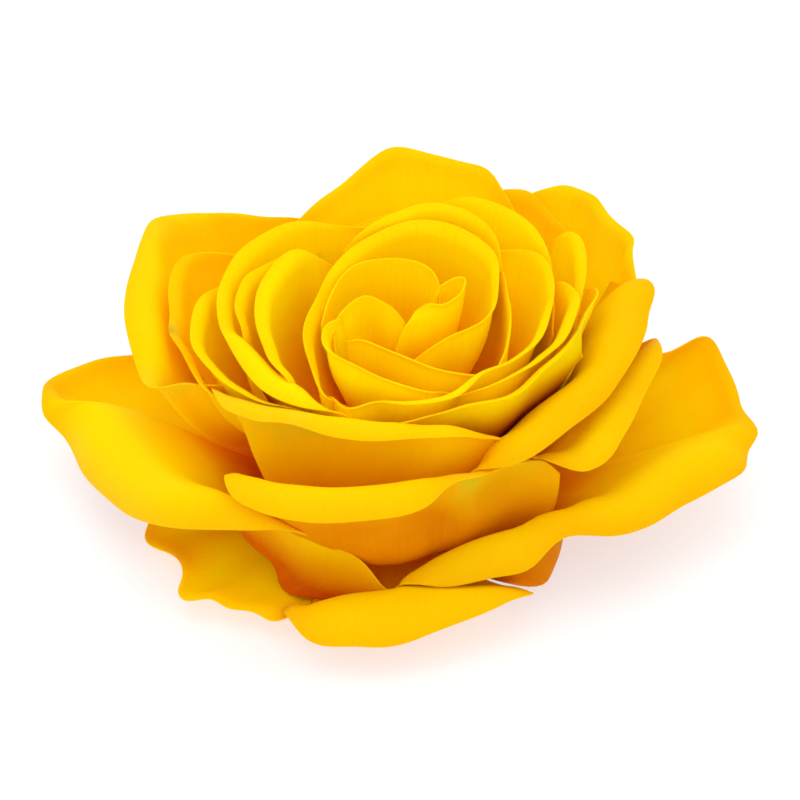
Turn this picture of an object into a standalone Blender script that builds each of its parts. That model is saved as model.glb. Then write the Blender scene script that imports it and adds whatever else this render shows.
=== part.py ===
"""A cut rose head resting on its cut face, one closed solid for each petal, sepal and the receptacle.

+Z is up and the front of the bloom faces -Y. The origin is the centre of the flat cut face.
The tables are in millimetres and degrees; the meshes are in metres.
"""

import math

import bpy
import numpy as np
from mathutils.bvhtree import BVHTree

MM = 0.001

# The receptacle: an urn, its cut face down, under a ball on which every petal is seated.
URN = ((4.5, 0.0), (5.4, 0.7), (6.0, 2.0), (6.2, 3.4), (6.6, 4.6))
BALL_HEIGHT = 7.0
BALL_RADIUS = 7.6
BALL_RINGS = range(110, 0, -11)
AROUND = 28
SEAT_GAP = 0.45

# A petal's grid: points along a rib, ribs across, and how the side edges round the corners off.
ALONG = 8
RIB_SPACING = 7.0
FEWEST_RIBS = 6
MOST_RIBS = 13
CORNER = 0.13
CORNER_POWER = 5

# A rib leaves its seat fanned out, and its curve is a little longer than the chord.
FAN = 0.6
ARM = 0.38
CURVE_OVER_CHORD = 1.06
SHORTEST_LIP = 0.3

# The petal wall, and how neighbouring petals are kept apart.
BASE_WALL = 0.5
RIM_WALL = 0.45
ROOM = 1.15
ROUNDS = 24
PUSH_REACH = 5.0
SIDE_REACH = 9.0
STRAIGHT_OFF = 0.6
SETTLED = 0.1

# The bud at the heart leans from the axis to its own centre, and narrows evenly to its seat.
BUD_CENTRE = (1.0, -5.0)
BUD_FOOT = 0.3
BUD_WAIST = 0.66
BUD_LEAN = 0.2

# Petals seated lower than this lie outside one another in the order of the table.
ORDERED_SEAT = 86

# Name, seat angle from straight up, slope at the crest, spread of the base, centre, rim stations.
# A petal of the bud has no seat angle of its own.
# A station is x, y, z of the crest and the length and turn of the rolled lip beyond it.
PETALS = (
    ("bud_tube", None, 90, 1.0, (7, -5), (
        (2, -8, 46, 1, 20), (6, -9, 46, 1, 20), (10, -7, 46, 1, 20), (11, -3, 47, 1, 20),
        (7, -1, 48, 1, 20), (4, -4, 48, 1, 20))),
    ("bud_leaf", None, 90, 1.0, (-3, -12), (
        (-7, -10, 45, 1, 20), (-6, -7, 46, 1, 20), (-4, -6, 47, 1, 20), (-1, -8, 46, 1, 20),
        (1, -12, 45, 1, 20))),
    ("bud_petal_back", None, 90, 1.0, (0, -8), (
        (5, 3, 47, 1, 20), (2, 3, 48, 1, 20), (-4, 2, 48, 1, 20), (-9, 0, 48, 1, 20),
        (-11, -4, 48, 1, 20))),
    ("bud_petal_front", None, 90, 1.0, (3, -6), (
        (-8, -13, 44, 1, 40), (0, -17, 43, 2, 40), (5, -18, 42, 2, 40), (10, -18, 41, 2, 40),
        (13, -18, 40, 2, 40))),
    ("bud_petal_front_left", None, 90, 1.0, (0, -10), (
        (-10, -9, 47, 1, 20), (-12, -14, 46, 2, 50), (-10, -18, 44, 2, 50), (-5, -20, 42, 2, 40),
        (0, -21, 41, 2, 40), (5, -22, 40, 1, 40))),
    ("bud_petal_wide", None, 90, 1.0, (1, -5), (
        (-13, -22, 40, 1, 30), (-15, -14, 44, 1, 30), (-14, -6, 46, 1, 30), (-9, 3, 48, 1, 30),
        (-4, 9, 49, 1, 30), (4, 10, 50, 1, 30), (10, 8, 49, 1, 30), (15, 5, 48, 1, 30),
        (16, 1, 47, 1, 30), (16, -3, 46, 1, 30), (14, -8, 45, 2, 30), (11, -11, 44, 2, 30),
        (8, -12, 43, 1, 30))),
    ("inner_petal_right", 46, 90, 0.6, (4, -6), (
        (18, 2, 45, 1, 20), (19, -4, 45, 1, 30), (19, -9, 44, 1, 30), (18, -14, 42, 1, 30),
        (16, -19, 41, 1, 30))),
    ("inner_petal_back", 45, 82, 0.6, (0, -4), (
        (19, 7, 48, 1, 30), (14, 11, 50, 1, 30), (7, 14, 51, 1, 30), (-1, 13, 50, 1, 30),
        (-9, 9, 49, 1, 30))),
    ("inner_petal_back_low", 49, 80, 0.6, (0, -4), (
        (12, 17, 42, 1, 30), (6, 19, 42, 1, 30), (-2, 19, 42, 1, 30), (-9, 16, 41, 1, 30),
        (-15, 11, 40, 1, 30))),
    ("inner_petal_front", 52, 82, 0.5, (0, -4), (
        (-9, -25, 39, 1, 40), (0, -25, 40, 2, 50), (7, -24, 41, 3, 60), (14, -21, 42, 3, 60),
        (19, -18, 42, 2, 50), (23, -13, 43, 1, 50), (26, -5, 45, 1, 50), (26, -1, 46, 1, 40),
        (22, 6, 47, 1, 30))),
    ("cup_petal_left_a", 53, 84, 0.5, (0, -6), (
        (-15, 5, 48, 1, 40), (-20, 2, 47, 1, 40), (-23, -4, 46, 1, 40), (-23, -10, 44, 2, 50),
        (-20, -18, 41, 3, 60), (-16, -23, 40, 3, 60), (-12, -26, 39, 2, 50))),
    ("cup_petal_left_b", 57, 84, 0.5, (0, -4), (
        (-20, 5, 46, 1, 40), (-26, 1, 45, 1, 40), (-28, -4, 44, 1, 40), (-26, -10, 42, 1, 40))),
    ("cup_petal_back_right", 55, 76, 0.5, (0, 0), (
        (26, 3, 45, 1, 30), (25, 9, 47, 1, 30), (21, 14, 48, 1, 30), (15, 18, 49, 1, 30),
        (9, 19, 50, 1, 30))),
    ("cup_petal_back_low", 57, 72, 0.5, (0, 0), (
        (7, 21, 41, 1, 30), (0, 22, 41, 1, 30), (-7, 20, 40, 1, 30), (-14, 16, 39, 1, 30),
        (-20, 11, 38, 1, 30))),
    ("cup_petal_front_right", 60, 82, 0.5, (0, -4), (
        (-2, -28, 39, 1, 40), (6, -28, 40, 2, 50), (14, -25, 41, 2, 50), (22, -20, 42, 2, 50),
        (28, -12, 43, 2, 50), (30, -5, 44, 2, 50), (30, 0, 45, 1, 40), (27, 3, 46, 1, 30))),
    ("cup_petal_left_c", 62, 84, 0.5, (0, -4), (
        (-17, 12, 47, 2, 60), (-26, 7, 45, 3, 70), (-30, 1, 44, 3, 70), (-30, -6, 43, 4, 80),
        (-27, -14, 41, 4, 80), (-22, -20, 39, 4, 80), (-16, -25, 38, 4, 70), (-10, -28, 39, 1, 50))),
    ("cup_petal_right", 63, 88, 0.5, (0, 0), (
        (32, -3, 42, 1, 30), (33, 4, 44, 1, 40), (32, 8, 46, 1, 40), (29, 12, 47, 1, 30))),
    ("cup_petal_left_d", 67, 82, 0.5, (0, -2), (
        (-31, 0, 43, 2, 60), (-34, -2, 42, 3, 60), (-35, -7, 41, 3, 60), (-34, -13, 39, 3, 60),
        (-27, -20, 37, 3, 60), (-17, -27, 37, 1, 40))),
    ("cup_petal_front_right_b", 67, 80, 0.5, (0, 0), (
        (15, -28, 39, 1, 40), (23, -22, 41, 2, 40), (29, -15, 42, 2, 50), (34, -7, 42, 2, 50),
        (36, 0, 43, 1, 40))),
    ("rim_petal_back", 65, 64, 0.5, (0, 0), (
        (18, 22, 46, 1, 30), (14, 25, 47, 1, 40), (7, 26, 48, 2, 50), (-1, 27, 49, 2, 50),
        (-9, 24, 47, 2, 50), (-17, 18, 45, 1, 40))),
    ("rim_petal_back_right", 71, 68, 0.5, (0, 0), (
        (29, 19, 39, 1, 30), (25, 22, 43, 1, 30), (21, 25, 44, 1, 30), (17, 27, 44, 1, 30))),
    ("rim_petal_left", 72, 74, 0.5, (0, 0), (
        (-33, 9, 41, 2, 60), (-37, 3, 41, 3, 60), (-38, -5, 39, 3, 60), (-36, -10, 37, 3, 60),
        (-30, -18, 36, 2, 50))),
    ("rim_petal_left_wide", 78, 68, 0.5, (0, 0), (
        (-18, 20, 41, 2, 50), (-29, 20, 40, 2, 70), (-38, 18, 40, 4, 80), (-41, 11, 39, 5, 100),
        (-40, 1, 38, 6, 100), (-39, -8, 37, 5, 90), (-35, -15, 35, 3, 50), (-28, -22, 35, 1, 30))),
    ("rim_petal_right_wavy", 78, 66, 0.5, (0, 0), (
        (38, 9, 36, 1, 50), (38, 15, 38, 2, 60), (34, 20, 40, 2, 60), (30, 24, 42, 3, 60),
        (26, 26, 42, 2, 50), (21, 28, 43, 1, 40))),
    ("rim_petal_right", 75, 68, 0.5, (0, 0), (
        (16, -31, 32, 2, 40), (26, -25, 33, 2, 50), (33, -18, 35, 2, 50), (37, -9, 37, 2, 50),
        (40, -2, 37, 2, 50), (41, 4, 37, 1, 50))),
    ("rim_petal_front", 81, 84, 0.5, (0, 0), (
        (-31, -19, 35, 2, 50), (-26, -24, 36, 3, 70), (-16, -30, 37, 3, 80), (-6, -32, 38, 3, 90),
        (5, -33, 38, 3, 90), (12, -32, 37, 2, 70), (18, -31, 34, 1, 50))),
    ("outer_petal_right", 85, 70, 0.5, (0, 0), (
        (20, -28, 28, 1, 50), (29, -25, 28, 5, 110), (37, -16, 29, 5, 100), (41, -6, 31, 3, 80),
        (43, 1, 31, 2, 50), (42, 7, 31, 1, 40))),
    ("outer_petal_front", 89, 92, 0.5, (0, 0), (
        (-31, -25, 25, 2, 60), (-19, -32, 28, 5, 130), (-8, -36, 30, 7, 150), (3, -37, 31, 7, 150),
        (13, -35, 30, 5, 130), (22, -31, 29, 3, 90), (27, -27, 25, 1, 60))),
    ("outer_petal_back", 82, 66, 0.5, (0, 0), (
        (20, 30, 34, 2, 50), (9, 33, 33, 3, 60), (-4, 34, 32, 3, 60), (-17, 30, 32, 2, 50),
        (-26, 26, 33, 1, 40))),
    ("outer_petal_back_right", 87, 60, 0.5, (0, 0), (
        (40, 15, 22, 2, 60), (38, 23, 23, 3, 80), (32, 30, 24, 3, 80), (22, 35, 24, 2, 60))),
    ("outer_petal_back_left", 88, 62, 0.5, (0, 0), (
        (-20, 35, 24, 2, 60), (-29, 32, 26, 3, 80), (-37, 25, 26, 3, 80), (-42, 16, 24, 2, 60))),
    ("wing_petal_left", 94, 56, 0.5, (0, 0), (
        (-44, 17, 13, 1, 30), (-51, 13, 15, 2, 40), (-57, 5, 16, 3, 50), (-51, -8, 17, 9, 70),
        (-38, -17, 19, 12, 80), (-27, -28, 20, 8, 90), (-16, -35, 20, 3, 60), (-8, -38, 15, 1, 30),
        (0, -41, 11, 1, 20))),
    ("wing_petal_right", 98, 62, 0.5, (0, 0), (
        (1, -39, 10, 1, 40), (8, -38, 13, 6, 100), (20, -33, 16, 9, 110), (33, -26, 18, 9, 100),
        (45, -18, 18, 8, 80), (55, -7, 16, 5, 60), (55, 3, 16, 3, 50), (51, 13, 18, 2, 40),
        (46, 15, 20, 1, 40))),
    ("skirt_petal_front_left", 99, 14, 0.5, (0, 0), (
        (-42, -21, 6, 2, 30), (-37, -27, 5, 2, 30), (-34, -33, 4, 2, 30), (-26, -36, 4, 2, 30),
        (-18, -37, 4, 2, 20))),
    ("skirt_petal_front", 103, 40, 0.5, (0, 0), (
        (-17, -41, 8, 4, 60), (-9, -42, 10, 8, 90), (0, -42, 10, 8, 90), (12, -40, 10, 5, 80),
        (22, -36, 8, 2, 40))),
    ("skirt_petal_back", 96, 38, 0.5, (0, 0), (
        (-21, 36, 17, 3, 50), (-12, 42, 17, 5, 70), (0, 44, 17, 5, 70), (12, 42, 17, 5, 70),
        (21, 37, 17, 3, 50))),
    ("skirt_petal_back_left", 100, 34, 0.5, (0, 0), (
        (-17, 40, 11, 3, 50), (-26, 39, 13, 5, 70), (-36, 33, 14, 5, 70), (-43, 25, 13, 4, 60),
        (-45, 17, 11, 3, 50))),
    ("skirt_petal_back_right", 101, 32, 0.5, (0, 0), (
        (45, 16, 11, 3, 50), (44, 25, 12, 4, 60), (37, 34, 13, 5, 70), (27, 40, 12, 5, 70),
        (17, 41, 10, 3, 50))),
)

# The sepals: direction round the axis, length and width of each; then where all start and end.
SEPALS = ((18, 24, 6.0), (90, 22, 5.5), (162, 25, 6.0), (234, 23, 5.5), (306, 24, 6.0))
SEPAL_ROOT_RADIUS = 6.6
SEPAL_ROOT_HEIGHT = 2.3
SEPAL_TIP_HEIGHT = 0.8
SEPAL_WALL = 0.8
SEPAL_OUTLINE = (
    (0.0, 0.8), (0.15, 0.95), (0.35, 1.0), (0.55, 0.85), (0.75, 0.55), (0.9, 0.28), (1.0, 0.1))
SEPAL_TROUGH = 0.12


def material(name, colour, roughness):
    made = bpy.data.materials.new(name)
    made.use_nodes = True
    shader = made.node_tree.nodes["Principled BSDF"]
    shader.inputs["Base Color"].default_value = (*colour, 1.0)
    shader.inputs["Roughness"].default_value = roughness
    shader.inputs["Metallic"].default_value = 0.0
    made.diffuse_color = (*colour, 1.0)
    return made


def smooth_rows(rows, steps):
    """The stations resampled evenly by a smooth curve through them."""
    rows = np.array(rows, float)
    gaps = np.linalg.norm(np.diff(rows[:, :3], axis=0), axis=1)
    at = np.concatenate([[0.0], np.cumsum(gaps)])
    slope = np.gradient(rows, at, axis=0)
    wanted = np.linspace(0.0, at[-1], steps)
    cell = np.clip(np.searchsorted(at, wanted, side="right") - 1, 0, len(at) - 2)
    size = (at[cell + 1] - at[cell])[:, None]
    t = (wanted - at[cell])[:, None] / size
    first = (2 * t**3 - 3 * t**2 + 1) * rows[cell] + (t**3 - 2 * t**2 + t) * size * slope[cell]
    last = (3 * t**2 - 2 * t**3) * rows[cell + 1] + (t**3 - t**2) * size * slope[cell + 1]
    return first + last


def bent(points, out, slope, lip, turn, share):
    """A share of the way along a curve through four control points and its rolled lip."""
    base, a, b, crest = points
    up = np.array([0.0, 0.0, 1.0])
    reach = CURVE_OVER_CHORD * np.linalg.norm(crest - base)
    line = []
    for along in np.linspace(0.0, share * (reach + lip), ALONG):
        t = min(along / reach, 1.0)
        s = 1.0 - t
        point = s**3 * base + 3 * s * s * t * a + 3 * s * t * t * b + t**3 * crest
        past = max(along - reach, 0.0)
        angle = slope - turn * past / lip / 2
        line.append(point + past * (math.cos(angle) * out + math.sin(angle) * up))
    return np.array(line)


def rib(base, start, crest, out, slope, lip, turn, share):
    """One rib of a petal that leaves the ball straight out and reaches its crest at a slope."""
    up = np.array([0.0, 0.0, 1.0])
    reach = ARM * np.linalg.norm(crest - base)
    a = base + reach * start
    b = crest - reach * (math.cos(slope) * out + math.sin(slope) * up)
    return bent((base, a, b, crest), out, slope, lip, turn, share)


def bud_rib(crest, out, lip, turn, share):
    """One rib of a bud petal, which shares its narrowing with all the others."""
    centre = np.array([*BUD_CENTRE, 0.0])
    arm = np.array([crest[0], crest[1], 0.0]) - centre
    foot = BUD_FOOT * arm
    foot[2] = BALL_HEIGHT + math.sqrt((BALL_RADIUS + SEAT_GAP) ** 2 - foot[0] ** 2 - foot[1] ** 2)
    third = (crest[2] - foot[2]) / 3
    a = centre / 3 + BUD_WAIST * arm
    b = centre * (2 / 3 + BUD_LEAN) + arm
    a[2] = foot[2] + third
    b[2] = foot[2] + 2 * third
    return bent((foot, a, b, crest), out, math.pi / 2, lip, turn, share)


def direction(polar, turn):
    """A unit vector at an angle from straight up and a turn round the axis."""
    level = math.sin(polar)
    return np.array([level * math.cos(turn), level * math.sin(turn), math.cos(polar)])


def petal_grid(seat, slope, spread, centre, stations):
    """The middle surface of a petal, rows from the seat to the lip."""
    crests = np.array(stations, float)[:, :3]
    rim = np.linalg.norm(np.diff(crests, axis=0), axis=1).sum()
    count = int(np.clip(round(rim / RIB_SPACING) + 2, FEWEST_RIBS, MOST_RIBS))
    rows = smooth_rows(stations, count)
    turns = np.unwrap(np.arctan2(rows[:, 1] - centre[1], rows[:, 0] - centre[0]))
    if turns[-1] < turns[0]:
        rows, turns = rows[::-1], turns[::-1]
    middle = turns.mean()
    shares = 1.0 - CORNER * np.abs(np.linspace(-1.0, 1.0, count)) ** CORNER_POWER
    ribs = []
    for row, turn, share in zip(rows, turns, shares):
        out = np.array([math.cos(turn), math.sin(turn), 0.0])
        lip, curl = max(row[3], SHORTEST_LIP), math.radians(row[4])
        if seat is None:
            ribs.append(bud_rib(row[:3], out, lip, curl, share))
            continue
        polar = math.radians(seat)
        base = (BALL_RADIUS + SEAT_GAP) * direction(polar, middle + spread * (turn - middle))
        base[2] += BALL_HEIGHT
        start = direction(polar, middle + FAN * (turn - middle))
        ribs.append(rib(base, start, row[:3], out, math.radians(slope), lip, curl, share))
    return np.array(ribs).transpose(1, 0, 2)


def cells(along, across):
    """The grid's four-sided faces, their front towards the outside of the bloom."""
    return [
        (j * across + i, j * across + i + 1, (j + 1) * across + i + 1, (j + 1) * across + i)
        for j in range(along - 1)
        for i in range(across - 1)
    ]


def facing(grid):
    """The outward direction at every point of a grid."""
    face = np.cross(np.gradient(grid, axis=1), np.gradient(grid, axis=0))
    return face / np.maximum(np.linalg.norm(face, axis=2, keepdims=True), 1e-9)


def reach_of(grid):
    """A search tree of a grid's faces."""
    along, across = grid.shape[:2]
    return BVHTree.FromPolygons(grid.reshape(-1, 3).tolist(), cells(along, across))


def offsets(points, tree, reach):
    """For every point near a petal: its place, its height off the surface and the outward normal."""
    found = []
    for place in np.ndindex(points.shape[:2]):
        near, normal, _, distance = tree.find_nearest(points[place].tolist(), reach)
        if near is None or place[0] == 0:
            continue
        normal = np.array(normal)
        height = float((points[place] - np.array(near)) @ normal)
        if abs(height) >= STRAIGHT_OFF * distance:
            found.append((place, height, normal))
    return found


def sides_of(points, tree, usual):
    """Which side of a petal each rib of another one lies on, judged by its upper half."""
    half = points.shape[0] // 2
    votes = np.zeros(points.shape[1])
    for place, height, _ in offsets(points, tree, SIDE_REACH):
        if place[0] >= half:
            votes[place[1]] += math.copysign(1.0, height)
    whole = math.copysign(1.0, votes.sum()) if votes.any() else usual
    return np.where(votes == 0, whole, np.sign(votes))


def pair_sides(grids, seats):
    """Every pair of petals, with the side of the other each one's ribs lie on."""
    trees = {name: reach_of(grid) for name, grid in grids.items()}
    names = list(grids)
    pairs = []
    for i, inner in enumerate(names):
        for outer in names[i + 1:]:
            if min(seats[inner], seats[outer]) >= ORDERED_SEAT:
                out = np.ones(grids[outer].shape[1])
                back = -np.ones(grids[inner].shape[1])
            else:
                out = sides_of(grids[outer], trees[inner], 1.0)
                back = sides_of(grids[inner], trees[outer], -1.0)
            pairs.append((inner, outer, out, back))
    return pairs


def moves_off(points, tree, sides):
    """How each point moves to stand clear of a petal, each rib on its own side of it."""
    moves = np.zeros_like(points)
    for place, height, normal in offsets(points, tree, PUSH_REACH):
        side = sides[place[1]]
        wanted = ROOM * min(1.0, 0.5 + 0.2 * place[0])
        if side * height < wanted:
            moves[place] = (wanted - side * height) * side * normal
    return moves


def boxes_apart(a, b):
    """Whether two grids are too far from each other to touch."""
    above = (b.min((0, 1)) > a.max((0, 1)) + ROOM).any()
    below = (b.max((0, 1)) < a.min((0, 1)) - ROOM).any()
    return above or below


def part_petals(grids, seats):
    """Moves neighbouring petals apart, half each, until none crosses another."""
    pairs = pair_sides(grids, seats)
    for _ in range(ROUNDS):
        total = {name: np.zeros_like(grid) for name, grid in grids.items()}
        trees = {name: reach_of(grid) for name, grid in grids.items()}
        worst = 0.0
        for inner, outer, out, back in pairs:
            if boxes_apart(grids[inner], grids[outer]):
                continue
            pushed_out = moves_off(grids[outer], trees[inner], out)
            pushed_in = moves_off(grids[inner], trees[outer], back)
            total[outer] += 0.5 * pushed_out
            total[inner] += 0.5 * pushed_in
            worst = max(worst, np.abs(pushed_out).max(), np.abs(pushed_in).max())
        for name in grids:
            grids[name] = grids[name] + total[name]
        if worst < SETTLED:
            break
    return grids


def closed_faces(along, across):
    """Faces of the solid between two copies of a grid, the first of them outside."""
    count = along * across
    faces = cells(along, across)
    faces += [tuple(count + k for k in reversed(face)) for face in cells(along, across)]
    edge = list(range(across))
    edge += [j * across + across - 1 for j in range(1, along)]
    edge += [(along - 1) * across + i for i in range(across - 2, -1, -1)]
    edge += [j * across for j in range(along - 2, 0, -1)]
    for a, b in zip(edge, edge[1:] + edge[:1]):
        faces.append((b, a, count + a, count + b))
    return faces


def both_sides(grid, shift):
    """The points of a middle surface moved one way, then the other."""
    return np.concatenate([(grid + shift).reshape(-1, 3), (grid - shift).reshape(-1, 3)])


def add_solid(name, points, faces, paint):
    mesh = bpy.data.meshes.new(name)
    mesh.from_pydata((np.array(points) * MM).tolist(), [], faces)
    mesh.validate()
    mesh.polygons.foreach_set("use_smooth", [True] * len(mesh.polygons))
    mesh.materials.append(paint)
    mesh.update()
    made = bpy.data.objects.new(name, mesh)
    bpy.context.scene.collection.objects.link(made)
    return made


def add_receptacle(paint):
    """The urn and the ball as one turned solid."""
    outline = list(URN)
    for polar in BALL_RINGS:
        angle = math.radians(polar)
        outline.append((BALL_RADIUS * math.sin(angle), BALL_HEIGHT + BALL_RADIUS * math.cos(angle)))
    points = []
    for radius, height in outline:
        for i in range(AROUND):
            turn = 2 * math.pi * i / AROUND
            points.append((radius * math.cos(turn), radius * math.sin(turn), height))
    points.append((0.0, 0.0, BALL_HEIGHT + BALL_RADIUS))
    faces = [tuple(reversed(range(AROUND)))]
    for j in range(0, len(points) - 1 - AROUND, AROUND):
        for i in range(AROUND):
            k = (i + 1) % AROUND
            faces.append((j + i, j + k, j + AROUND + k, j + AROUND + i))
    last = len(points) - 1 - AROUND
    for i in range(AROUND):
        faces.append((last + i, last + (i + 1) % AROUND, len(points) - 1))
    add_solid("receptacle", points, faces, paint)


def add_sepal(name, turn, length, width, paint):
    """A pointed leaf turned back under the bloom."""
    out = np.array([math.cos(turn), math.sin(turn), 0.0])
    side = np.array([math.sin(turn), -math.cos(turn), 0.0])
    up = np.array([0.0, 0.0, 1.0])
    rows = []
    for t, share in SEPAL_OUTLINE:
        half = width * share / 2
        height = SEPAL_ROOT_HEIGHT + (SEPAL_TIP_HEIGHT - SEPAL_ROOT_HEIGHT) * t
        middle = out * (SEPAL_ROOT_RADIUS + length * t) + up * height
        rows.append([middle + half * (s * side + SEPAL_TROUGH * abs(s) * up)
                     for s in (-1.0, -0.5, 0.0, 0.5, 1.0)])
    grid = np.array(rows)
    points = both_sides(grid, up * SEPAL_WALL / 2)
    add_solid(name, points, closed_faces(*grid.shape[:2]), paint)


def main():
    for item in list(bpy.data.objects):
        bpy.data.objects.remove(item, do_unlink=True)
    green = material("receptacle green", (0.16, 0.28, 0.05), 0.55)
    leaf = material("sepal green", (0.12, 0.25, 0.05), 0.5)
    add_receptacle(green)
    for number, (turn, length, width) in enumerate(SEPALS, 1):
        add_sepal(f"sepal_{number}", math.radians(turn), length, width, leaf)
    grids = {}
    seats = {}
    for name, seat, slope, spread, centre, stations in PETALS:
        grids[name] = petal_grid(seat, slope, spread, centre, stations)
        seats[name] = seat or 0
    for name, grid in part_petals(grids, seats).items():
        yellow = material(name + " yellow", (1.0, 0.62, 0.02), 0.45)
        wall = np.linspace(BASE_WALL, RIM_WALL, ALONG)[:, None, None]
        points = both_sides(grid, facing(grid) * wall / 2)
        add_solid(name, points, closed_faces(*grid.shape[:2]), yellow)


main()
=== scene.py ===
"""The rose's fine petals, sepals and receptacle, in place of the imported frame's plain ones.

Lengths are millimetres up to add_mesh, and angles in the tables are degrees, in the frame's own
axes. The stage, the lights and the camera are in metres.
"""

import math
import random

import bpy
import numpy as np
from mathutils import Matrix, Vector
from mathutils.bvhtree import BVHTree


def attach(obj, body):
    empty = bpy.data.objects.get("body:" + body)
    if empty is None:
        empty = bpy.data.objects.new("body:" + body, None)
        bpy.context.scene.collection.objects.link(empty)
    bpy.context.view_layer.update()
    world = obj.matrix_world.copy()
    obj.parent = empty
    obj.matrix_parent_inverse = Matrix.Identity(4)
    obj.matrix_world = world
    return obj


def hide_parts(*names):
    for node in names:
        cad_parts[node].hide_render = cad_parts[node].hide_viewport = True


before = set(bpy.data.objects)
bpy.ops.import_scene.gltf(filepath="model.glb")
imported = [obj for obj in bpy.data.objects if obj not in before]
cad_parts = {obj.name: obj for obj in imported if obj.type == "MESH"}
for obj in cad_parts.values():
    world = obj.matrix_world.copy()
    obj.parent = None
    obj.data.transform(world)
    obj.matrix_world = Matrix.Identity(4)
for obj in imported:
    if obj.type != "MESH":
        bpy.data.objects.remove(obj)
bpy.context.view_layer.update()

MM = 0.001
UP = np.array([0.0, 0.0, 1.0])

# The ball on top of the receptacle, and the gap between it and a petal's seat.
BALL_HEIGHT = 7.0
BALL_RADIUS = 7.6
SEAT_GAP = 0.45

# The control grid of a petal: points from base to lip, gathered towards the rim by a power, and ribs.
ALONG = 13
TO_RIM = 1.6
RIB_SPACING = 3.7
FEWEST_RIBS = 8
MOST_RIBS = 27
# The fine grid drawn through it.
FINE_ALONG = 46
FINE_SPACING = 0.85
FEWEST_FINE = 36
MOST_FINE = 96

# A petal's two end ribs stop short of the rim by this share, which rounds its corners.
CORNER = 0.04
CORNER_POWER = 6
# How far the ribs fan out where they leave the ball, as a share of how far their crests do.
FAN = 0.6
# A rib's two control arms as a share of its chord: the usual arm, and what a full petal adds above.
ARM = 0.38
SQUARER = 0.25
# No control point lies lower, so that no petal sags into the floor.
LOWEST = 2.0
CURVE_OVER_CHORD = 1.06
SHORTEST_LIP = 0.3
BASE_WALL = 0.5
RIM_WALL = 0.3

# Parting the petals: the room between two middle surfaces, and its share at the base and per row.
ROOM = 1.05
ROOM_AT_BASE = 0.5
ROOM_PER_ROW = 0.14
ROUNDS = 16
# How far a point looks for its neighbour when it is moved, and when its side is judged.
PUSH_REACH = 4.0
SIDE_REACH = 9.0
# A point counts where at least this share of its distance from a petal is height.
STRAIGHT_OFF = 0.6
# Parting stops when no move is larger than this.
SETTLED = 0.1
SOFTENING_ROUNDS = 2
# Of two petals seated at this angle or beyond, the later one in the table lies outside.
ORDERED_SEAT = 86

# The rim's small waves: height, fine points to each, and where on the petal they begin.
RUFFLE_HEIGHT = 0.35
POINTS_PER_WAVE = 30.0
RUFFLE_START = 0.72
RUFFLE_SPAN = 0.28
WAVE_PITCHES = (1.0, 1.7, 2.9)
WAVE_SUM = 1.6

# The bud: its petals narrow together towards one foot.
BUD_CENTRE = (1.0, -5.0)
BUD_FOOT = 0.3
BUD_WAIST = 0.66
BUD_LEAN = 0.2
# How far the free left edge of a rolled bud petal spreads below its rim, in x and y.
BUD_FLARE = {"bud_tube": (-8.0, -6.5)}
# How far a petal follows its seat's direction, as a share of its chord, where it isn't ARM.
FULLNESS = {
    "outer_petal_front": 0.88, "rim_petal_front": 0.6, "outer_petal_right": 0.6,
    "rim_petal_left_wide": 0.55,
}

# Round green spots by petal: place, radius and strength.
GREEN = {
    "cup_petal_front_right_b": (
        ((30.5, -8, 43), 3, 0.5), ((29, -11.5, 42.5), 3, 0.7), ((27, -14.5, 42), 3, 0.6)),
    "rim_petal_front": (
        ((-30, -18.5, 36), 4, 0.6), ((-25.5, -21, 36), 4, 0.4), ((-22, -22.5, 35), 5, 0.6),
        ((-15, -25.5, 36), 4, 0.7)),
    "rim_petal_left_wide": (
        ((-39.5, -16.5, 36), 3, 0.8), ((-35.5, -15.5, 35.5), 3, 0.4), ((-41, 22.5, 39.5), 5, 0.4)),
    "outer_petal_front": (((11, -30, 28), 4, 0.6), ((16, -29, 28), 4, 0.5), ((21, -26, 27), 3, 0.3)),
    "rim_petal_right_wavy": (
        ((27.5, 22.5, 42), 3, 0.5), ((29.5, 20.5, 41), 3, 0.6), ((36.5, 21.5, 39), 5, 0.3)),
    "rim_petal_left": (((-38.5, 4, 40.5), 2.5, 0.5), ((-38, -5.5, 38.5), 2, 0.9)),
}
# Round brown stains by petal, in the same form.
BROWN = {
    "wing_petal_right": (
        ((59, -4.5, 14), 2.5, 0.4), ((57, -10.5, 13), 2, 0.4), ((55, -13.5, 13), 2, 0.4)),
    "wing_petal_left": (((-61, 5.5, 15), 3, 0.3),),
    "skirt_petal_front_left": (
        ((-42.5, -19.5, 6), 2, 0.3), ((-37, -24.5, 5), 2.5, 0.3), ((-17, -38, 6), 2.5, 0.5)),
    "skirt_petal_front": (((-17, -38, 6), 2.5, 0.5), ((-11.5, -42.5, 3), 4, 0.2)),
    "rim_petal_left": (((-38, -5.5, 38.5), 1.2, 0.4),),
}
# How strongly painted shade darkens a petal to deep orange towards its base. Others get a small random
# share.
PAINTED_SHADE = {
    "outer_petal_front": 0.62, "wing_petal_left": 0.95, "wing_petal_right": 0.75,
    "skirt_petal_front": 0.1, "rim_petal_right": 0.3, "rim_petal_front": 0.0,
    "cup_petal_front_right_b": 1.0, "inner_petal_front": 0.3, "cup_petal_front_right": 0.3,
    "skirt_petal_front_left": 0.0, "rim_petal_left_wide": 0.0,
}
USUAL_SHADE = 0.15
# How much ochre dulls a petal's yellow. The others have none.
DULL = {
    "rim_petal_right": 0.28, "wing_petal_right": 0.24, "skirt_petal_front": 0.18,
    "outer_petal_right": 0.14, "outer_petal_front": 0.16, "wing_petal_left": 0.08,
}
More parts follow.
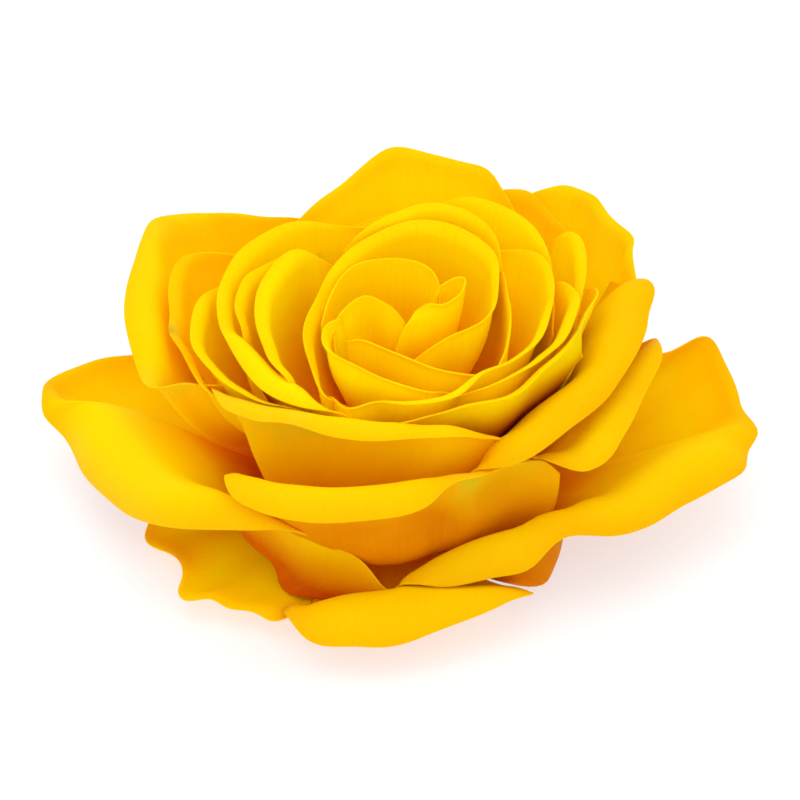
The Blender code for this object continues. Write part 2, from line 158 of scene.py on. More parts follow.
# Each petal: its name, its seat's angle from straight up (none in the bud), its slope at the crest, how
# much of its spread its seat has, the centre its ribs turn round, and its stations. A station is a point
# of the crest, the lip's length past it and its turn down, and perhaps its own slope and fullness.
PETALS = (
    ("bud_tube", None, 90, 1.0, (7.5, -4.5), (
        (3, -8, 45.5, 0.6, 10), (4, -7.5, 46, 0.6, 10), (5, -8, 45.5, 0.6, 10), (7.5, -7.5, 45.5, 0.6, 10),
        (9, -7, 46, 0.6, 10), (10.5, -4.5, 46.5, 0.6, 10), (10.5, -3, 47, 0.6, 10), (8.5, -3, 47, 0.6, 10),
        (6.5, -3.5, 47, 0.6, 10))),
    ("bud_leaf", None, 90, 1.0, (-3, -12), (
        (-10.5, -13.5, 43, 1, 20), (-9.5, -9.5, 44.5, 1, 20), (-7.5, -7.5, 45.5, 1, 20),
        (-5, -6.5, 45.5, 1, 20), (-2.5, -8, 45, 1, 20), (-0.5, -9, 44, 1, 20), (1, -9.5, 43, 1, 20))),
    ("bud_petal_back", None, 90, 1.0, (0, -8), (
        (6.5, -3.5, 45, 0.8, 15), (5, 0, 46, 0.8, 15), (2.5, 1.5, 46.5, 0.8, 15), (-1.5, 2, 46.5, 1, 15),
        (-6.5, 1, 46.5, 1, 15), (-9.5, -2, 46, 1, 15), (-11.5, -7, 45.5, 1, 15),
        (-12.5, -10.5, 44, 1, 15))),
    ("bud_petal_front", None, 90, 1.0, (3, -6), (
        (-9.5, -11.5, 42.5, 0.4, 20), (-7.5, -13, 42.5, 0.9, 30), (-4, -14, 41.5, 1.5, 40),
        (0, -16, 40.5, 2, 40), (4.5, -18, 39.5, 2, 40), (8.5, -18.5, 39, 1.5, 40), (12.5, -17, 38, 1, 30),
        (16, -12, 35, 1, 20))),
    ("bud_petal_front_left", None, 90, 1.0, (0, -10), (
        (-9.5, -10.5, 45.5, 0.8, 20), (-11, -12.5, 44.5, 2, 50), (-11.5, -14.5, 43.5, 2.5, 60),
        (-10.5, -18, 42.5, 2.5, 60), (-7.5, -20.5, 42, 2.5, 50), (-3.5, -21.5, 41, 2, 50),
        (0, -23, 40.5, 1.5, 40), (4.5, -23, 39.5, 1, 40), (7, -19.5, 36.5, 1, 30), (11, -17, 34.5, 1, 20))),
    ("bud_petal_wide", None, 90, 1.0, (1, -5), (
        (-7, -19, 33, 1, 20), (-12, -22, 37, 2, 40), (-13, -18.5, 38, 3, 50), (-13.5, -14.5, 39, 3.5, 55),
        (-14, -10.5, 41, 3.5, 55), (-12.5, -6, 42.5, 3, 55), (-10.5, -2, 44.5, 3, 55),
        (-7.5, 2.5, 45.5, 3, 55), (-3.5, 6.5, 46.5, 2.5, 50), (1.5, 8.5, 47.5, 2.5, 50),
        (7, 8, 47.5, 2.5, 50), (11.5, 5.5, 47, 2.5, 50), (14.5, 2.5, 46, 2.5, 50), (15, -1.5, 45, 2.5, 50),
        (15, -5.5, 44.5, 2, 50), (14, -9, 43.5, 2, 45), (12, -11, 43, 1.5, 40), (9.5, -11.5, 42.5, 1, 30),
        (7.5, -12, 41.5, 1, 20), (5, -13, 40.5, 1, 20), (2.5, -14, 39, 1, 20))),
    ("inner_petal_right", 46, 90, 0.6, (4, -6), (
        (16, 8, 42.5, 1, 20), (17, 0, 43.5, 1, 20), (17.5, -6.5, 43.5, 1, 30), (17.5, -11.5, 42.5, 1, 30),
        (16.5, -15, 41, 1, 30), (15, -18, 39, 1, 30), (13, -19, 36, 1, 20))),
    ("inner_petal_back", 45, 84, 0.6, (0, -4), (
        (17, 3, 45, 1, 30), (16, 5.5, 46.5, 1.5, 40), (13, 9, 48, 2, 45), (9, 11, 49, 2, 50),
        (4.5, 11.5, 49.5, 2, 50), (0, 10, 49, 2, 50), (-4.5, 8.5, 48, 1.5, 40), (-7.5, 6.5, 47.5, 1, 30),
        (-9.5, 8, 45, 1, 30))),
    ("inner_petal_back_low", 49, 80, 0.6, (0, -4), (
        (13, 17, 42, 1, 30), (6, 19, 42, 1, 30), (-2, 19, 42, 1, 30), (-9, 16, 41, 1, 30),
        (-15, 11, 40, 1, 30))),
    ("inner_petal_front", 52, 82, 0.5, (0, -4), (
        (-13, -18, 33, 1, 20), (-11.5, -20.5, 36.5, 1, 30), (-9, -23.5, 37, 1.5, 40),
        (-4, -23.5, 38, 2, 60), (0, -24.5, 38.5, 3, 70), (4, -25, 39, 3.5, 75), (8, -24, 39.5, 3.5, 75),
        (11.5, -21, 40.5, 3, 70), (16.5, -18.5, 41, 2.5, 60), (20.5, -14, 41.5, 2.5, 60),
        (22.5, -9.5, 42.5, 2.5, 60), (24, -5, 43.5, 2, 50), (24, -0.5, 44.5, 2, 50), (22.5, 4, 45, 2, 50),
        (19, 6.5, 45, 1.5, 40), (16, 7, 45, 1, 30), (13.5, 8.5, 43, 1, 20))),
    ("cup_petal_left_a", 53, 84, 0.5, (0, -6), (
        (-10, 7, 42, 1, 20), (-12.5, 5.5, 44, 1, 40), (-15, 5, 45, 2, 60), (-17.5, 2.5, 45, 3, 70),
        (-19.5, -1, 44, 3.5, 75), (-21, -5, 43, 3.5, 75), (-21, -9.5, 41.5, 3.5, 75),
        (-20, -13, 40, 3.5, 75), (-19, -16.5, 39, 3, 70), (-17, -20, 38.5, 2, 60), (-16, -20, 35.5, 1, 30),
        (-11, -21, 32, 1, 20))),
    ("cup_petal_left_b", 57, 84, 0.5, (0, -4), (
        (-16, 10, 43, 1, 30), (-18.5, 5.5, 44, 1.5, 50), (-21.5, 1.5, 44.5, 2, 65),
        (-24, -0.5, 43.5, 2.5, 70), (-25, -4, 42.5, 2.5, 70), (-25, -7, 41, 2.5, 70), (-24, -9, 40, 2, 60),
        (-24.5, -13, 36, 1, 30), (-21.5, -17.5, 32, 1, 20))),
    ("cup_petal_back_right", 55, 78, 0.5, (0, 0), (
        (25.5, -7, 39, 1, 20), (25, 0, 42.5, 1, 30), (24.5, 2, 44.5, 1, 40), (22.5, 7.5, 46.5, 1.5, 50),
        (19, 12, 47, 2, 55), (15.5, 13.5, 48, 2, 55), (12, 14.5, 48.5, 2, 50), (8.5, 16, 48, 1.5, 40),
        (5, 17, 46, 1, 20))),
    ("cup_petal_back_low", 57, 72, 0.5, (0, 0), (
        (7, 21, 41, 1, 30), (0, 22, 41, 1, 30), (-7, 20, 40, 1, 30), (-14, 16, 39, 1, 30),
        (-20, 11, 38, 1, 30))),
    ("cup_petal_front_right", 60, 82, 0.5, (0, -4), (
        (2, -25, 34, 1, 30), (7.5, -23, 37, 1.5, 40), (12, -22.5, 39, 2, 50), (15.5, -21.5, 39.5, 2.5, 55),
        (19.5, -18.5, 40, 3, 60), (22, -15, 40, 3.5, 65), (24.5, -12.5, 40.5, 3.5, 65),
        (26, -9, 41.5, 3.5, 65), (27, -6, 42, 3.5, 60), (27.5, -4, 42.5, 3, 55), (27, -2, 43.5, 2, 50),
        (25.5, 0.5, 44, 1, 40), (25.5, 1, 42, 1, 20))),
    ("cup_petal_left_c", 62, 84, 0.5, (0, -4), (
        (-5, 17, 43.5, 1, 30), (-9, 14, 44.5, 1, 40), (-13, 13.5, 45, 1.5, 50), (-17.5, 12.5, 45, 2, 60),
        (-22, 9.5, 44, 2.5, 65), (-25, 6, 43, 3, 70), (-27, 2, 42, 3, 70), (-27.5, -3.5, 41, 3.5, 75),
        (-26.5, -8, 39, 4, 80), (-24, -11.5, 39.5, 4.5, 115), (-21.5, -15, 39, 4.5, 140),
        (-18.5, -18.5, 38.5, 5, 150), (-15.5, -20.5, 38, 5, 150), (-13.5, -22.5, 37.5, 4, 140),
        (-11.5, -23.5, 37, 2.5, 110), (-9, -24, 37.5, 1, 40), (-6.5, -23, 35, 1, 30))),
    ("cup_petal_right", 63, 86, 0.5, (0, 0), (
        (26.5, -10, 36.5, 1.5, 40), (28, -6, 39, 2, 50), (28.5, -2.5, 41, 2.5, 55), (29, 2.5, 42, 3, 60),
        (29, 6, 43.5, 3, 60), (28, 9.5, 45, 2.5, 55), (27, 11, 45.5, 1.5, 40), (25.5, 12, 44.5, 1, 20))),
    ("cup_petal_left_d", 67, 82, 0.5, (0, -2), (
        (-27, 8, 41, 1, 40), (-28.5, 0.5, 42, 1.5, 60), (-30.5, -0.5, 41, 2, 70), (-31.5, -3.5, 40, 3, 75),
        (-32, -7, 39, 3, 75), (-31.5, -11, 38, 3, 75), (-29.5, -14, 37, 3, 75), (-27.5, -17, 36.5, 3, 75),
        (-24.5, -19.5, 36, 3, 75), (-22, -21.5, 36, 2.5, 70), (-19, -22.5, 36, 2, 60),
        (-16, -24, 36, 1.5, 50), (-12, -24, 34.5, 1, 40))),
    ("cup_petal_front_right_b", 67, 80, 0.5, (0, 0), (
        (-6, -25.5, 33, 1, 30), (-1, -27.5, 36.5, 1, 40), (3, -26.5, 36.5, 2, 50), (6.5, -26, 37, 2.5, 55),
        (10.5, -24.5, 37.5, 3, 60), (15, -23.5, 38, 3, 60), (18.5, -21.5, 38.5, 3, 60),
        (22, -18, 39.5, 3, 60), (25.5, -14.5, 40.5, 2.5, 60), (27.5, -11.5, 41, 2, 55),
        (29.5, -7.5, 42, 1.5, 50), (31.5, -3.5, 43, 1, 50), (32, -0.5, 43, 0.8, 40),
        (31, 3, 41.5, 0.8, 20))),
    ("rim_petal_back", 65, 66, 0.5, (0, 0), (
        (21, 20, 42, 1, 30), (17.5, 24.5, 44, 1, 30), (14.5, 28, 46, 1, 40), (10, 28.5, 46.5, 1.5, 50),
        (5, 30, 47, 1.5, 50), (-1, 31, 47.5, 1.5, 50), (-5, 28, 47, 1.5, 50), (-9, 24, 45.5, 1.5, 50),
        (-14, 20, 44.5, 1, 40), (-18, 17, 42, 1, 30), (-22, 12, 40, 1, 20))),
    ("rim_petal_back_right", 71, 70, 0.5, (0, 0), (
        (30, 18, 38, 1, 30), (25, 23.5, 40, 1, 30), (23, 25, 42, 1, 30), (21, 26, 43, 1, 30),
        (18, 26, 43, 1, 30), (13, 27, 41, 1, 20))),
    ("rim_petal_left", 72, 76, 0.5, (0, 0), (
        (-25, 14, 40, 1, 40), (-29.5, 11.5, 40.5, 1, 40), (-33, 12, 40.5, 1, 45), (-35, 10, 40, 2, 55),
        (-36, 7.5, 39.5, 2.5, 65), (-36.5, 5.5, 39, 2.5, 70), (-36, 2.5, 38.5, 3, 70),
        (-36, -0.5, 38, 3, 70), (-35.5, -3, 37, 3, 70), (-36, -5.5, 37, 2.5, 70),
        (-34.5, -8.5, 36.5, 2.5, 65), (-33, -12, 35.5, 2, 60), (-30.5, -16, 35, 1.5, 50),
        (-26, -19, 33, 1, 40))),
    ("rim_petal_left_wide", 78, 66, 0.5, (0, 0), (
        (-14, 24, 38, 1, 40), (-16.5, 21.5, 41, 1, 40), (-22, 22, 40, 1.5, 50), (-28, 23, 39.5, 2, 60),
        (-33.5, 23.5, 38.5, 2.5, 70), (-36.5, 22.5, 38.5, 3, 75), (-39.5, 22, 38, 3.5, 80),
        (-40.5, 18.5, 37.5, 4, 85), (-40, 13.5, 37.5, 5, 95), (-39.5, 7.5, 37, 6, 100),
        (-39.5, 2.5, 36.5, 6.5, 100), (-39, -2.5, 36, 6.5, 100), (-38.5, -7.5, 35.5, 6, 95),
        (-38.5, -12.5, 34.5, 4.5, 85), (-39, -16, 34.5, 2.5, 65), (-38, -16, 34.5, 1.5, 50),
        (-35, -15, 34.5, 1, 50), (-31, -15, 34.5, 1, 40), (-27, -15.5, 34, 1, 30), (-22, -18, 32, 1, 20))),
    ("rim_petal_right_wavy", 78, 68, 0.5, (0, 0), (
        (40, 3, 34, 1, 40), (39, 10.5, 36.5, 1, 50), (38.5, 13, 36.5, 1.5, 55), (38, 15.5, 37.5, 2, 60),
        (39, 18, 38, 1.5, 55), (37, 19, 39, 2, 60), (34.5, 22, 39.5, 2, 60), (33.5, 24, 40, 2, 60),
        (32, 27, 41, 1.5, 55), (29.5, 27, 41.5, 2, 60), (26, 27.5, 41.5, 2.5, 60), (24, 27, 41.5, 2, 50),
        (22, 25.5, 42.5, 1, 40), (19, 28, 40, 1, 30))),
    ("rim_petal_right", 75, 42, 0.5, (0, 0), (
        (6, -31, 20, 1, 20, 60), (11, -29, 27.5, 1, 60, 55), (14.5, -29, 31, 3, 85, 48),
        (17.5, -28, 33.5, 4.5, 95, 42), (21, -24.5, 34.5, 5, 95, 40), (24, -20.5, 35, 5.5, 95, 38),
        (28, -16.5, 36, 6, 90, 38), (31, -12, 37, 6, 85, 40), (33, -5.5, 37.5, 7, 80, 42),
        (34.5, 0.5, 38, 7, 75, 44), (36, 4.5, 38.5, 6.5, 65, 48), (37.5, 6.5, 38.5, 3, 60, 42),
        (40, 6.5, 38, 1, 30, 45), (36, 12, 36, 1, 20, 62))),
    ("rim_petal_front", 81, 86, 0.5, (0, 0), (
        (-31.5, -16, 35.5, 1, 60, 45, 0.55), (-29.5, -18, 36, 2, 110, 58, 0.68),
        (-27.5, -19.5, 36, 3, 180, 72, 0.8), (-25, -21, 36, 3, 195, 84, 0.8),
        (-21, -23, 36.5, 3.5, 190, 86, 0.7), (-16, -24.5, 37, 3.5, 170), (-9.5, -26.5, 37, 4.5, 165),
        (-5, -27.5, 37, 4.5, 165), (-1.5, -28, 37, 4, 160), (1.5, -28, 37, 3.5, 160),
        (3.5, -28.5, 37, 3, 155), (6.5, -28.5, 37, 3, 150), (11, -26.5, 34.5, 2.5, 130),
        (15, -25, 32, 1.5, 100), (17.5, -22.5, 29, 1, 60), (16, -20, 26, 1, 30), (17, -16, 24, 1, 20))),
    ("outer_petal_right", 85, 42, 0.5, (0, 0), (
        (17, -28, 22, 1, 30, 60), (19.5, -24, 26, 1, 60, 54), (22, -24, 27, 3, 85, 46),
        (24.5, -24, 28, 5, 105, 40), (27, -24, 28.5, 5, 112, 37), (29, -23, 29.5, 5.5, 112, 36),
        (31, -19.5, 30.5, 5.5, 108, 38), (33.5, -14, 31, 5.5, 100, 40), (36, -9.5, 31.5, 5, 95, 42),
        (39, -4.5, 32, 4.5, 85, 48), (41, -1, 31.5, 2.5, 65, 54), (42.5, 1, 31.5, 1, 50, 56),
        (40, 4, 28, 1, 30, 60))),
    ("outer_petal_front", 89, 92, 0.5, (0, 0), (
        (-28, -27, 25.5, 1.5, 80), (-26.5, -29, 26.5, 4, 120), (-24, -31, 27.5, 6.5, 145, 92, 0.74),
        (-20, -33.5, 28.5, 8, 155, 92, 0.74), (-16, -35, 29, 8.5, 160, 92, 0.8),
        (-9.5, -36, 29.5, 8.5, 165, 92, 0.8), (-4, -35.5, 29.5, 8, 165, 92, 0.84), (1, -34, 29, 8, 160),
        (5, -32.5, 29, 6, 150), (8, -31, 29, 3.5, 120), (12, -29.5, 28.5, 2.5, 115),
        (17, -26.5, 27.5, 2.5, 110), (20.5, -24.5, 26.5, 2, 80), (23.5, -23.5, 25.5, 1, 50),
        (26, -23.5, 23.5, 1, 40))),
    ("outer_petal_back", 82, 66, 0.5, (0, 0), (
        (26, 24, 31, 1.5, 40), (20, 30, 34, 2, 50), (9, 33, 33, 3, 60), (-4, 34, 32, 3, 60),
        (-17, 30, 32, 2, 50), (-26, 25, 32, 1, 40))),
    ("outer_petal_back_right", 87, 60, 0.5, (0, 0), (
        (42, 5, 19, 1, 40), (39, 14, 20, 1.5, 60), (38, 23, 23, 3, 80), (32, 30, 24, 3, 80),
        (22, 35, 24, 2, 60))),
    ("outer_petal_back_left", 88, 62, 0.5, (0, 0), (
        (-10, 37, 22, 1, 40), (-20, 35, 24, 2, 60), (-29, 32, 26, 3, 80), (-37, 25, 26, 3, 80),
        (-42, 16, 24, 2, 60), (-43, 8, 21, 1, 40))),
    ("wing_petal_left", 94, 45, 0.5, (0, 0), (
        (-36, 25, 11, 1, 30), (-46, 19, 13, 1, 30), (-51, 16, 14, 1.5, 35), (-55, 12.5, 15, 1.5, 40),
        (-57.5, 8.5, 16, 2, 45), (-60, 5.5, 16.5, 1.5, 40), (-57.5, 2.5, 17, 3.5, 70, 32, 0.45),
        (-54, 1, 17.5, 7.5, 95, 20, 0.5), (-49.5, 0, 18, 11, 112, 16, 0.5),
        (-45.5, -5.5, 18.5, 12.5, 120, 16, 0.5), (-41.5, -12, 19, 12, 125, 18, 0.55),
        (-37.5, -18.5, 19.5, 10.5, 145, 30, 0.65), (-34, -23.5, 21, 9, 175, 50, 0.75),
        (-29.5, -26.5, 22, 8, 195, 66, 0.8), (-26, -28, 22, 7, 215, 80, 0.86),
        (-22.5, -29.5, 22, 5.5, 220, 88, 0.88), (-19, -31, 21, 3.5, 200, 94, 0.95),
        (-15.5, -31.5, 20, 2, 110, 98, 1.12), (-12, -32, 18, 1, 40, 100, 1.42),
        (-9, -32.5, 16, 1, 20, 98, 1.55), (-5.5, -34, 14, 1, 20, 95, 1.45), (-3, -36, 11.5, 1, 20, 90, 1.2),
        (0, -38, 10, 1, 20, 86, 0.92))),
    ("wing_petal_right", 98, 45, 0.5, (0, 0), (
        (0, -37.5, 9.5, 1, 40, 60, 0.7), (1.5, -35.5, 11.5, 3, 120, 62, 0.8),
        (4, -34, 12.5, 5, 170, 64, 0.85), (8, -32.5, 14, 6.5, 185, 67, 1.05),
        (13, -31, 15, 7, 205, 80, 1.55), (18, -30, 16, 7, 215, 86, 1.58),
        (21, -28.5, 16.5, 5.5, 215, 90, 1.38), (23.5, -28, 17, 3.5, 208, 88, 1.2),
        (26, -26.5, 17.5, 6, 190, 78, 1.15), (30, -25, 18, 8, 165, 62, 0.95),
        (35, -22.5, 18.5, 8.5, 130, 36, 0.65), (40.5, -17.5, 18.5, 9, 115, 30, 0.55),
        (45, -13.5, 18.5, 10, 105, 28, 0.5), (49.5, -10, 18, 9.5, 90, 25, 0.45),
        (52, -7.5, 17.5, 7, 80, 24, 0.4), (54, -6, 17.5, 6.5, 65, 26, 0.38),
        (55.5, -4, 17, 4, 55, 28, 0.38), (56.5, -1.5, 17, 2, 50), (56.5, 2, 17, 1.5, 50),
        (55.5, 7, 18, 1.5, 45), (54, 13.5, 19, 1, 40), (53, 16, 20, 1, 40), (49.5, 14, 20, 1, 30),
        (46, 13, 18.5, 1, 30), (38, 20, 16, 1, 20))),
    ("skirt_petal_front_left", 99, 12, 0.5, (0, 0), (
        (-44, -10, 6, 1, 20), (-40.5, -15, 6, 1.5, 30), (-41, -17.5, 6.5, 2, 40), (-41, -19, 5.5, 2, 30),
        (-38.5, -22, 5.5, 1.5, 30), (-36.5, -23, 5.5, 1.5, 30), (-35, -26, 5, 1.5, 30),
        (-35, -29.5, 5, 1.5, 30), (-35.5, -32, 4.5, 1.5, 30), (-33, -33, 5, 2, 40),
        (-29.5, -32.5, 5, 2, 40), (-26, -35, 5, 2, 40), (-23, -35, 5, 2, 50), (-19, -38, 5, 2.5, 50),
        (-18, -38.5, 4, 1.5, 30), (-15, -36.5, 3.5, 1, 20))),
    ("skirt_petal_front", 100, 60, 0.5, (0, 0), (
        (-18.5, -37, 6.5, 2, 80, 50, 0.8), (-16, -38.5, 8.5, 4.5, 130, 58, 0.9),
        (-12, -39, 9.5, 8, 160, 62, 0.95), (-6.5, -39, 10.5, 9, 170, 62, 0.95),
        (0.5, -39, 10.5, 8.5, 170, 62, 0.95), (5.5, -38, 10.5, 7, 160, 60, 0.95),
        (10.5, -37, 10, 5.5, 145, 58, 0.9), (15.5, -36, 9.5, 4, 125, 55, 0.9), (19, -36, 9, 3, 90, 50, 0.8),
        (21.5, -35.5, 8, 2, 50, 45, 0.7))),
    ("skirt_petal_back", 96, 38, 0.5, (0, 0), (
        (-21, 36, 17, 3, 50), (-12, 42, 17, 5, 70), (0, 44, 17, 5, 70), (12, 42, 17, 5, 70),
        (21, 37, 17, 3, 50))),
    ("skirt_petal_back_left", 100, 34, 0.5, (0, 0), (
        (-17, 40, 11, 3, 50), (-26, 39, 13, 5, 70), (-36, 33, 14, 5, 70), (-43, 25, 13, 4, 60),
        (-45, 17, 11, 3, 50))),
    ("skirt_petal_back_right", 101, 32, 0.5, (0, 0), (
        (41, 15, 11, 2.5, 50), (39.5, 24, 12, 3.5, 60), (35, 32, 13, 5, 70), (27, 40, 12, 5, 70),
        (17, 41, 10, 3, 50))),
)


def smooth_rows(rows, at_shares):
    """The stations resampled at shares of the rim by a smooth curve through them."""
    rows = np.array(rows, float)
    gaps = np.linalg.norm(np.diff(rows[:, :3], axis=0), axis=1)
    at = np.concatenate([[0.0], np.cumsum(gaps)])
    slope = np.gradient(rows, at, axis=0)
    wanted = at_shares * at[-1]
    cell = np.clip(np.searchsorted(at, wanted, side="right") - 1, 0, len(at) - 2)
    size = (at[cell + 1] - at[cell])[:, None]
    t = (wanted - at[cell])[:, None] / size
    first = (2 * t**3 - 3 * t**2 + 1) * rows[cell] + (t**3 - 2 * t**2 + t) * size * slope[cell]
    last = (3 * t**2 - 2 * t**3) * rows[cell + 1] + (t**3 - t**2) * size * slope[cell + 1]
    return first + last


def to_rim(count):
    """Shares of the way from a petal's base to its rim, closer together towards the rim."""
    return 1.0 - (1.0 - np.linspace(0.0, 1.0, count)) ** TO_RIM


def bent(points, out, slope, lip, turn, share):
    """A share of the way along a curve through four control points and its rolled lip."""
    base, a, b, crest = points
    reach = CURVE_OVER_CHORD * np.linalg.norm(crest - base)
    line = []
    for along in share * (reach + lip) * to_rim(ALONG):
        t = min(along / reach, 1.0)
        s = 1.0 - t
        point = s**3 * base + 3 * s * s * t * a + 3 * s * t * t * b + t**3 * crest
        past = max(along - reach, 0.0)
        angle = slope - turn * past / lip / 2
        line.append(point + past * (math.cos(angle) * out + math.sin(angle) * UP))
    return np.array(line)


def rib(base, start, crest, out, slope, lip, turn, share, full):
    """One rib of a petal that leaves the ball straight out and reaches its crest at a slope."""
    reach = np.linalg.norm(crest - base)
    a = base + full * reach * start
    upper_arm = ARM + SQUARER * (full - ARM)
    b = crest - upper_arm * reach * (math.cos(slope) * out + math.sin(slope) * UP)
    a[2] = max(a[2], LOWEST)
    b[2] = max(b[2], LOWEST)
    return bent((base, a, b, crest), out, slope, lip, turn, share)


def bud_rib(crest, out, lip, turn, share, flare):
    """One rib of a bud petal, which shares its narrowing with all the others."""
    centre = np.array([*BUD_CENTRE, 0.0])
    arm = np.array([crest[0], crest[1], 0.0]) - centre
    foot = BUD_FOOT * arm
    foot[2] = BALL_HEIGHT + math.sqrt((BALL_RADIUS + SEAT_GAP) ** 2 - foot[0] ** 2 - foot[1] ** 2)
    third = (crest[2] - foot[2]) / 3
    a = centre / 3 + BUD_WAIST * arm
    b = centre * (2 / 3 + BUD_LEAN) + arm
    a[2] = foot[2] + third
    b[2] = foot[2] + 2 * third
    b[:2] += flare
    return bent((foot, a, b, crest), out, math.pi / 2, lip, turn, share)


def direction(polar, turn):
    """A unit vector at an angle from straight up and a turn round the axis."""
    level = math.sin(polar)
    return np.array([level * math.cos(turn), level * math.sin(turn), math.cos(polar)])


def rim_length(stations):
    """How long the rim is along its stations."""
    crests = np.array([station[:3] for station in stations], float)
    return np.linalg.norm(np.diff(crests, axis=0), axis=1).sum()


def petal_grid(seat, slope, spread, centre, stations, flare, full):
    """The control grid of a petal's middle surface, rows from the seat to the lip."""
    count = int(np.clip(round(rim_length(stations) / RIB_SPACING) + 2, FEWEST_RIBS, MOST_RIBS))
    # A station that gives no slope or fullness of its own takes the petal's.
    stations = [(*station, *(slope, full)[len(station) - 5:]) for station in stations]
    rows = smooth_rows(stations, np.linspace(0.0, 1.0, count))
    turns = np.unwrap(np.arctan2(rows[:, 1] - centre[1], rows[:, 0] - centre[0]))
    if turns[-1] < turns[0]:
        rows, turns = rows[::-1], turns[::-1]
    middle = turns.mean()
    shares = 1.0 - CORNER * np.abs(np.linspace(-1.0, 1.0, count)) ** CORNER_POWER
    ribs = []
    flares = np.outer(np.linspace(1.0, 0.0, count) ** 2, flare)
    for row, turn, share, loose in zip(rows, turns, shares, flares):
        out = np.array([math.cos(turn), math.sin(turn), 0.0])
        lip = max(row[3], SHORTEST_LIP)
        curl = math.radians(row[4])
        if seat is None:
            ribs.append(bud_rib(row[:3], out, lip, curl, share, loose))
            continue
        polar = math.radians(seat)
        base = (BALL_RADIUS + SEAT_GAP) * direction(polar, middle + spread * (turn - middle))
        base[2] += BALL_HEIGHT
        start = direction(polar, middle + FAN * (turn - middle))
        ribs.append(rib(base, start, row[:3], out, math.radians(row[5]), lip, curl, share, row[6]))
    return np.array(ribs).transpose(1, 0, 2)


def cells(along, across):
    """The grid's four-sided faces, their front towards the outside of the bloom."""
    return [
        (j * across + i, j * across + i + 1, (j + 1) * across + i + 1, (j + 1) * across + i)
        for j in range(along - 1)
        for i in range(across - 1)
    ]


def facing(grid):
    """The outward direction at every point of a grid."""
    face = np.cross(np.gradient(grid, axis=1), np.gradient(grid, axis=0))
    return face / np.maximum(np.linalg.norm(face, axis=2, keepdims=True), 1e-9)


def search_tree(grid):
    """A search tree of a grid's faces."""
    along, across = grid.shape[:2]
    return BVHTree.FromPolygons(grid.reshape(-1, 3).tolist(), cells(along, across))


def offsets(points, tree, reach):
    """For every point near a petal: its place, its height off the surface and the outward normal."""
    found = []
    for place in np.ndindex(points.shape[:2]):
        near, normal, _, distance = tree.find_nearest(points[place].tolist(), reach)
        if near is None or place[0] == 0:
            continue
        normal = np.array(normal)
        height = float((points[place] - np.array(near)) @ normal)
        if abs(height) >= STRAIGHT_OFF * distance:
            found.append((place, height, normal))
    return found


def sides_of(points, tree, usual):
    """Which side of a petal each rib of another one lies on, judged by its upper half."""
    half = points.shape[0] // 2
    votes = np.zeros(points.shape[1])
    for place, height, _ in offsets(points, tree, SIDE_REACH):
        if place[0] >= half:
            votes[place[1]] += math.copysign(1.0, height)
    whole = math.copysign(1.0, votes.sum()) if votes.any() else usual
    return np.where(votes == 0, whole, np.sign(votes))


def boxes_apart(a, b, room):
    """Whether two grids are too far from each other to touch."""
    above = (b.min((0, 1)) > a.max((0, 1)) + room).any()
    below = (b.max((0, 1)) < a.min((0, 1)) - room).any()
    return above or below


def pair_sides(grids, seats):
    """Every pair of petals, with the side of the other each one's ribs lie on."""
    trees = {name: search_tree(grid) for name, grid in grids.items()}
    names = list(grids)
    pairs = []
    for i, inner in enumerate(names):
        for outer in names[i + 1:]:
            if boxes_apart(grids[inner], grids[outer], SIDE_REACH):
                continue
            if min(seats[inner], seats[outer]) >= ORDERED_SEAT:
                out = np.ones(grids[outer].shape[1])
                back = -np.ones(grids[inner].shape[1])
            else:
                out = sides_of(grids[outer], trees[inner], 1.0)
                back = sides_of(grids[inner], trees[outer], -1.0)
            pairs.append((inner, outer, out, back))
    return pairs


def moves_off(points, tree, sides):
    """How each point moves to stand clear of a petal, each rib on its own side of it."""
    moves = np.zeros_like(points)
    for place, height, normal in offsets(points, tree, PUSH_REACH):
        side = sides[place[1]]
        wanted = ROOM * min(1.0, ROOM_AT_BASE + ROOM_PER_ROW * place[0])
        if side * height < wanted:
            moves[place] = (wanted - side * height) * side * normal
    return moves


def part_petals(grids, seats):
    """Moves neighbouring petals apart, half each, until the moves are small or the rounds run out."""
    pairs = pair_sides(grids, seats)
    for _ in range(ROUNDS):
        total = {name: np.zeros_like(grid) for name, grid in grids.items()}
        trees = {name: search_tree(grid) for name, grid in grids.items()}
        worst = 0.0
        for inner, outer, out, back in pairs:
            if boxes_apart(grids[inner], grids[outer], ROOM):
                continue
            pushed_out = moves_off(grids[outer], trees[inner], out)
            pushed_in = moves_off(grids[inner], trees[outer], back)
            total[outer] += 0.5 * pushed_out
            total[inner] += 0.5 * pushed_in
            worst = max(worst, np.abs(pushed_out).max(), np.abs(pushed_in).max())
        for name in grids:
            grids[name] = grids[name] + total[name]
        if worst < SETTLED:
            break
    return grids


def spline_weights(knots, wanted):
    """The matrix of a natural cubic spline: values at the knots in, values at the wanted places out."""
    count = len(knots)
    gap = np.diff(knots)
    system = np.eye(count)
    sides = np.zeros((count, count))
    for i in range(1, count - 1):
        system[i, i - 1:i + 2] = (gap[i - 1], 2 * (gap[i - 1] + gap[i]), gap[i])
        sides[i, i - 1:i + 2] = (6 / gap[i - 1], -6 / gap[i - 1] - 6 / gap[i], 6 / gap[i])
    bends = np.linalg.solve(system, sides)
    cell = np.clip(np.searchsorted(knots, wanted, side="right") - 1, 0, count - 2)
    width = gap[cell]
    left = (knots[cell + 1] - wanted) / width
    right = 1.0 - left
    unit = np.eye(count)
    weights = left[:, None] * unit[cell] + right[:, None] * unit[cell + 1]
    curve = (left**3 - left)[:, None] * bends[cell] + (right**3 - right)[:, None] * bends[cell + 1]
    return weights + curve * (width**2 / 6)[:, None]


